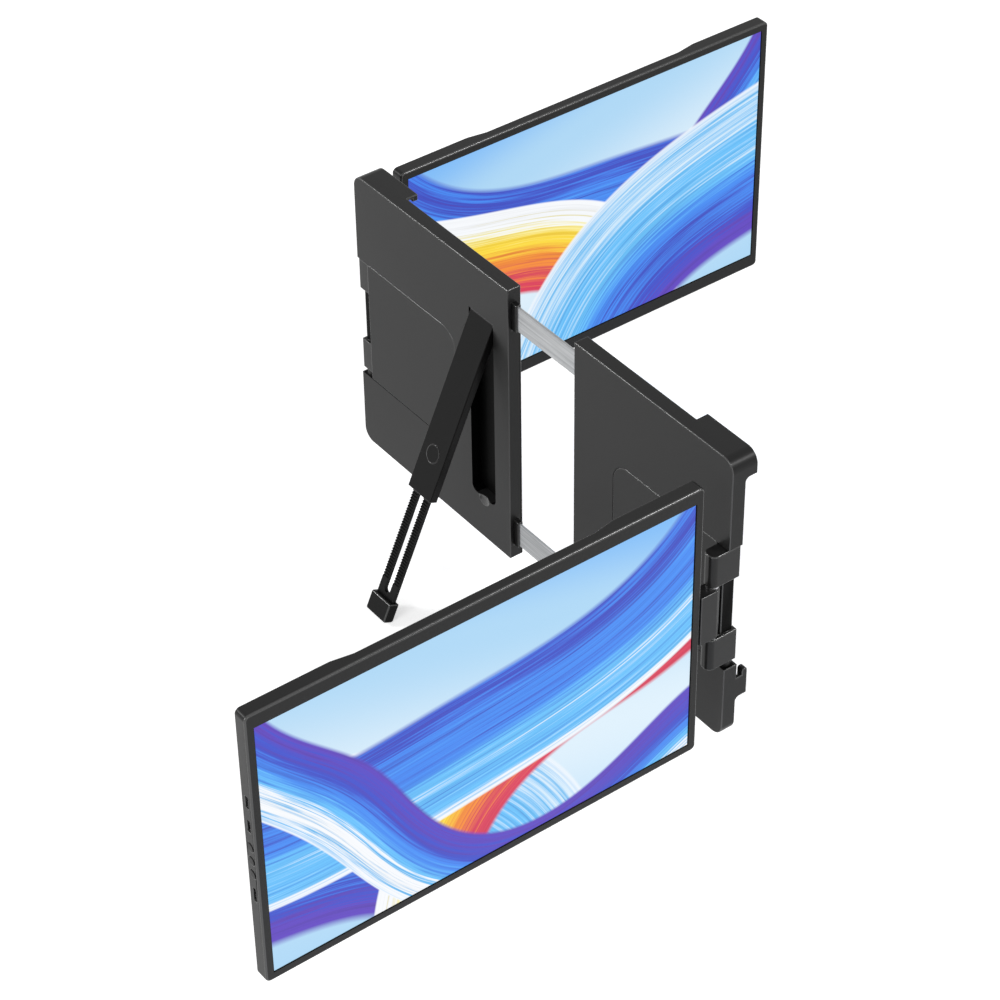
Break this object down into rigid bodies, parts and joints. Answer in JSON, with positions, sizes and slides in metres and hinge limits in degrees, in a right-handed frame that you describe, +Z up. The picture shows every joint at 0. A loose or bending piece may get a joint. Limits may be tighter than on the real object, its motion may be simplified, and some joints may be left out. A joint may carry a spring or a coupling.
{
  "type": "laptop screen extender",
  "caption": "Laptop screen extender: clamp-on plates joined by sliding rails, a swinging monitor at each outer end, and a fold-out extending rear stand.",
  "frame": {"origin": "middle of the spread width, on the face that the laptop's lid lies against, level with the plates' bottom edge", "axes": "+X to the user's right, +Y away from the user through the plates, +Z up"},
  "size_m": [0.3788, 0.676, 0.2381],
  "materials": {
    "shell_black": "satin",
    "arm_black": "satin",
    "bezel_black": "satin",
    "back_grey": "satin",
    "stand_black": "satin",
    "sleeve_black": "satin",
    "key_gloss": "gloss",
    "pad_rubber": "matte",
    "rail_aluminium": "brushed",
    "pin_steel": "satin",
    "screw_steel": "satin",
    "socket_metal": "satin",
    "screen_glass": "gloss",
    "light_plate": "matte",
    "board_green": "satin"
  },
  "bodies": {
    "right_plate": {"right_rear_cover": "shell_black", "right_front_shell": "shell_black", "right_hinge_tray": "shell_black", "right_lid_pads": "pad_rubber", "right_shell_screws": "screw_steel", "right_plate_pin": "pin_steel", "right_pin_spacer": "arm_black", "rail_sleeves": "sleeve_black", "stand_pin": "pin_steel"},
    "left_plate": {"left_rear_cover": "shell_black", "left_front_shell": "shell_black", "left_hinge_tray": "shell_black", "left_lid_pads": "pad_rubber", "left_shell_screws": "screw_steel", "left_plate_pin": "pin_steel", "left_pin_spacer": "arm_black", "rail_anchors": "sleeve_black", "rail_stops": "sleeve_black", "rail_screws": "screw_steel", "top_rail": "rail_aluminium", "bottom_rail": "rail_aluminium"},
    "stand_leg": {"stand_leg": "stand_black"},
    "stand_fork": {"stand_fork": "stand_black", "stand_foot": "pad_rubber"},
    "stand_button": {"stand_button": "key_gloss"},
    "left_arms": {"left_hinge_bracket": "arm_black", "left_monitor_pin": "pin_steel", "left_hinge_washers": "pin_steel"},
    "left_monitor": {"left_hinge_leaf": "arm_black", "left_leaf_screws": "screw_steel", "left_bezel": "bezel_black", "left_back_shell": "back_grey", "left_lcd_panel": "screen_glass", "left_backlight": "light_plate", "left_main_board": "board_green", "left_usb_sockets": "socket_metal", "left_hdmi_socket": "socket_metal", "left_key_switches": "key_gloss", "left_speakers": "shell_black"},
    "left_key_1": {"left_key_1": "key_gloss"},
    "left_key_2": {"left_key_2": "key_gloss"},
    "left_key_3": {"left_key_3": "key_gloss"},
    "right_arms": {"right_hinge_bracket": "arm_black", "right_monitor_pin": "pin_steel", "right_hinge_washers": "pin_steel"},
    "right_monitor": {"right_hinge_leaf": "arm_black", "right_leaf_screws": "screw_steel", "right_bezel": "bezel_black", "right_back_shell": "back_grey", "right_lcd_panel": "screen_glass", "right_backlight": "light_plate", "right_main_board": "board_green", "right_usb_sockets": "socket_metal", "right_hdmi_socket": "socket_metal", "right_key_switches": "key_gloss", "right_speakers": "shell_black"},
    "right_key_1": {"right_key_1": "key_gloss"},
    "right_key_2": {"right_key_2": "key_gloss"},
    "right_key_3": {"right_key_3": "key_gloss"}
  },
  "joints": [
    {"name": "width_slide", "type": "slide", "parent": "right_plate", "child": "left_plate", "axis": [-1, 0, 0], "range_m": [-0.066, 0.0165]},
    {"name": "left_arm_swing", "type": "hinge", "parent": "left_plate", "child": "left_arms", "pos_m": [-0.18338, 0.00515, 0.1045], "axis": [0, 0, 1], "range_deg": [0, 180]},
    {"name": "left_monitor_turn", "type": "hinge", "parent": "left_arms", "child": "left_monitor", "pos_m": [-0.18338, 0.0173, 0.1045], "axis": [0, 0, 1], "range_deg": [-60, 50]},
    {"name": "left_key_1_press", "type": "slide", "parent": "left_monitor", "child": "left_key_1", "axis": [0, -1, 0], "range_m": [0, 0.0005], "stiffness_N_per_m": 400, "springref_m": -0.001},
    {"name": "left_key_2_press", "type": "slide", "parent": "left_monitor", "child": "left_key_2", "axis": [0, -1, 0], "range_m": [0, 0.0005], "stiffness_N_per_m": 400, "springref_m": -0.001},
    {"name": "left_key_3_press", "type": "slide", "parent": "left_monitor", "child": "left_key_3", "axis": [0, -1, 0], "range_m": [0, 0.0005], "stiffness_N_per_m": 400, "springref_m": -0.001},
    {"name": "right_arm_swing", "type": "hinge", "parent": "right_plate", "child": "right_arms", "pos_m": [0.18338, 0.00515, 0.1045], "axis": [0, 0, 1], "range_deg": [0, 180]},
    {"name": "right_monitor_turn", "type": "hinge", "parent": "right_arms", "child": "right_monitor", "pos_m": [0.18338, -0.007, 0.1045], "axis": [0, 0, -1], "range_deg": [-60, 50]},
    {"name": "right_key_1_press", "type": "slide", "parent": "right_monitor", "child": "right_key_1", "axis": [0, 1, 0], "range_m": [0, 0.0005], "stiffness_N_per_m": 400, "springref_m": -0.001},
    {"name": "right_key_2_press", "type": "slide", "parent": "right_monitor", "child": "right_key_2", "axis": [0, 1, 0], "range_m": [0, 0.0005], "stiffness_N_per_m": 400, "springref_m": -0.001},
    {"name": "right_key_3_press", "type": "slide", "parent": "right_monitor", "child": "right_key_3", "axis": [0, 1, 0], "range_m": [0, 0.0005], "stiffness_N_per_m": 400, "springref_m": -0.001},
    {"name": "stand_swing", "type": "hinge", "parent": "right_plate", "child": "stand_leg", "pos_m": [0.05245, 0.0071, 0.177], "axis": [1, 0, 0], "range_deg": [-21.5, 20]},
    {"name": "stand_extend", "type": "slide", "parent": "stand_leg", "child": "stand_fork", "axis": [0, 0.4099, -0.9121], "range_m": [-0.0765, 0.008]},
    {"name": "stand_release", "type": "slide", "parent": "stand_leg", "child": "stand_button", "axis": [0, -0.9121, -0.4099], "range_m": [0, 0.0007], "stiffness_N_per_m": 400, "springref_m": -0.001}
  ]
}
